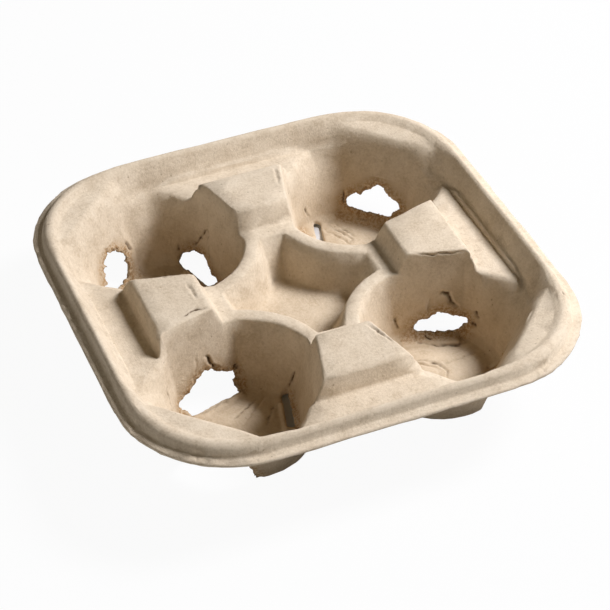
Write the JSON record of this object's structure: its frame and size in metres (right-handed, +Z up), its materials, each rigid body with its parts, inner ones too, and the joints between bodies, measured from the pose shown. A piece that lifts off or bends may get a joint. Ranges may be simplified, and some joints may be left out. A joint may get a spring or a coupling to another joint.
{
  "type": "cup carrier",
  "caption": "Square moulded pulp tray with round cup wells, raised pillars between them, a recess in the middle and an out-turned rim; carries takeaway cups.",
  "frame": {"origin": "on the table plane, under the middle of the feet", "axes": "+Z up out of the wells, +X and +Y along the tray's straight sides; -Y is the side nearest in the picture"},
  "size_m": [0.216, 0.216, 0.048],
  "materials": {
    "pulp": "matte grey-brown moulded paper pulp with visible fibre"
  },
  "bodies": {
    "root": {"cup_carrier": "pulp"}
  },
  "joints": []
}
